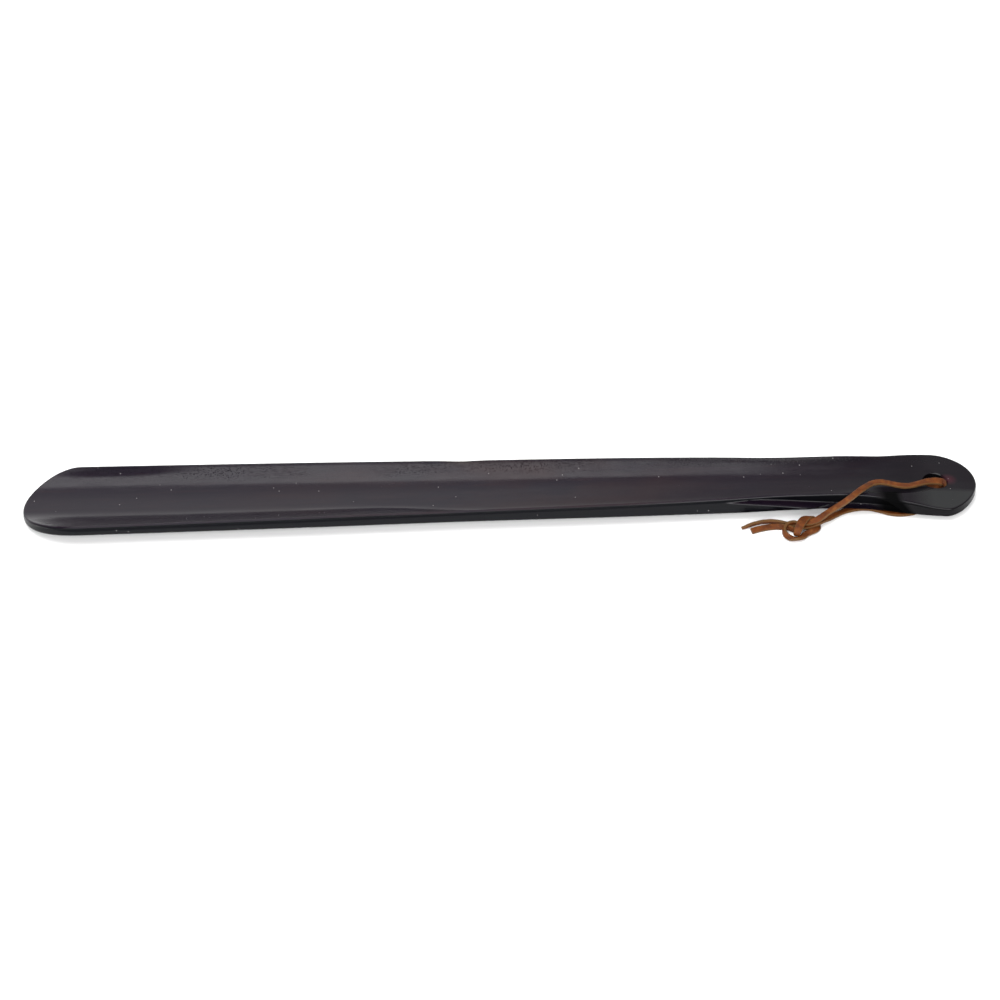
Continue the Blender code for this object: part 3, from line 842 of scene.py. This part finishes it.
GRAIN = [(0.22, (0.016, 0.0038, 0.0006)), (0.5, (0.072, 0.018, 0.0022)), (0.8, (0.145, 0.050, 0.008))]
SUEDE = [(0.25, (0.040, 0.016, 0.004)), (0.6, (0.098, 0.046, 0.014)), (0.85, (0.180, 0.102, 0.042))]
GRAIN_PATCH = (0.110, 0.027, 0.0035, 1.0)
IN_HOLE_SHADE = (0.020, 0.004, 0.002, 1.0)      # painted shade: the lace darkened where it runs inside the hole
IN_HOLE_PLACE = (0.1822, -0.0010, 0.0062)


def leather_color(n, place, mottle, fibre):
    """Mottled dyed grain on the faces, paler fibres on the cut edges, and painted shade inside the hole."""
    edge = n.add("ShaderNodeAttribute", {"attribute_name": "edge"}).outputs["Fac"]
    patches = n.span(n.noise(place, 110.0, 2.0), 0.35, 0.7, 0.0, 0.55)
    face = n.mix(patches, n.ramp(mottle, GRAIN), GRAIN_PATCH)
    torn = n.span(n.math("ADD", edge, n.span(fibre, 0.0, 1.0, -0.25, 0.25)), 0.55, 0.95)
    color = n.mix(torn, face, n.ramp(fibre, SUEDE))
    # painted shade: the lace is darkened near the middle of the hole
    return n.mix(n.both(n.near_point(place, IN_HOLE_PLACE, 0.0052), 0.8), color, IN_HOLE_SHADE)


def tan_leather():
    """Tan lace leather: fine grain, with a fibre that runs along the lace."""
    n = Nodes("tan_leather")
    place = n.add("ShaderNodeTexCoord").outputs["Object"]
    along = n.add("ShaderNodeUVMap", {"uv_map": "along"}).outputs["UV"]
    mottle = n.noise(place, 420.0, 4.0, 0.6)
    fibre = n.noise(n.stretch(along, (1.6, 6.0, 1.0)), 1.0, 4.0, 0.65)
    grain = n.add("ShaderNodeTexVoronoi", {"feature": "DISTANCE_TO_EDGE"}, Vector=place, Scale=2600.0)
    n.put(n.shader, "Base Color", leather_color(n, place, mottle, fibre))
    n.put(n.shader, "Roughness", n.span(mottle, 0.3, 0.7, 0.48, 0.66))
    n.shader.inputs["Specular IOR Level"].default_value = 0.15
    n.bump([(fibre, 0.00012), (grain.outputs["Distance"], 0.00005), (mottle, 0.00006)])
    return n.material


# ---------------------------------------------------------------- studio

WORLD_FRONT = 0.42           # radiance of the surroundings on the near side
WORLD_BACK = 0.72            # and on the far side
OVERHEAD_LIGHT = 5.1         # radiance of the ceiling softbox
BACK_LIGHT = 0.90            # extra radiance of the panel behind the blade
FRONT_LIGHT = 7.0            # radiance of the panel behind the camera, which clears the shadows in its view
GROUND_REACH = 12.0


def white_ground():
    """Plain pale sweep that the shoehorn lies on."""
    n = Nodes("white_ground")
    place = n.add("ShaderNodeTexCoord").outputs["Object"]
    color = n.mix(n.noise(place, 3.0), (0.90, 0.90, 0.90, 1.0), (0.92, 0.92, 0.92, 1.0))
    n.put(n.shader, "Base Color", color)
    n.shader.inputs["Roughness"].default_value = 0.9
    n.shader.inputs["Specular IOR Level"].default_value = 0.1
    return n.material


def make_ground():
    """A wide floor at z = 0."""
    bm = bmesh.new()
    corners = ((-1, -1), (1, -1), (1, 1), (-1, 1))
    bm.faces.new([bm.verts.new((GROUND_REACH * x, GROUND_REACH * y, 0)) for x, y in corners])
    ground = add_object("ground", bm)
    ground.data.materials.append(white_ground())


def make_world():
    """Even surroundings, a little brighter behind the shoehorn than in front of it."""
    world = bpy.data.worlds.new("studio")
    world.use_nodes = True
    nodes, links = world.node_tree.nodes, world.node_tree.links
    direction = nodes.new("ShaderNodeTexCoord").outputs["Generated"]
    apart = nodes.new("ShaderNodeSeparateXYZ")
    links.new(direction, apart.inputs["Vector"])
    fade = nodes.new("ShaderNodeMapRange")
    links.new(apart.outputs["Y"], fade.inputs[0])
    for socket, value in zip(list(fade.inputs)[1:5], (-0.6, 0.6, WORLD_FRONT, WORLD_BACK)):
        socket.default_value = value
    links.new(fade.outputs[0], nodes["Background"].inputs["Strength"])
    nodes["Background"].inputs["Color"].default_value = (1.0, 1.0, 1.0, 1.0)
    bpy.context.scene.world = world


def make_panel(name, place, turn, size, radiance):
    """A flat softbox that the camera doesn't see."""
    data = bpy.data.lights.new(name, "AREA")
    data.shape = "RECTANGLE"
    data.size, data.size_y = size
    data.energy = math.pi * size[0] * size[1] * radiance
    panel = bpy.data.objects.new(name, data)
    panel.location = place
    panel.rotation_euler = (math.radians(turn), 0.0, 0.0)
    panel.visible_camera = False
    bpy.context.scene.collection.objects.link(panel)


def make_light():
    """A softbox overhead, a dimmer panel behind the blade and a fill behind the camera."""
    make_world()
    make_panel("overhead", (-0.23, -0.18, 1.2), 0.0, (0.80, 1.32), OVERHEAD_LIGHT)
    make_panel("front_fill", (0.0, -1.77, 0.94), 62.0, (3.0, 1.2), FRONT_LIGHT)
    make_panel("back_panel", (-0.90, 1.5, 1.60), -90.0, (2.1, 3.2), BACK_LIGHT)
    bpy.context.scene.view_settings.view_transform = "Standard"


# ---------------------------------------------------------------- build

make_camera()
leather = tan_leather()
upper_lace, upper_path, upper_length = make_lace("thong_knotted_half", UPPER_LEG + KNOT_LOOP + TAIL_NEAR,
                                                 square_cut, 126.0)
lower_lace, lower_path, lower_length = make_lace("thong_straight_half", LOWER_LEG + KNOT_CORE + TAIL_FAR,
                                                 pointed_cut, 133.0)
for lace in (upper_lace, lower_lace):
    lace.data.materials.append(leather)
    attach(lace, "thong")
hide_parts("thong_upper_leg", "thong_knot", "thong_tail_near")
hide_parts("thong_lower_leg", "thong_tail_far")

carved_body = make_body()
carved_body.data.materials.append(lacquered_wood())
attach(carved_body, "shoehorn")
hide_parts("shoehorn_body")

make_ground()
make_light()
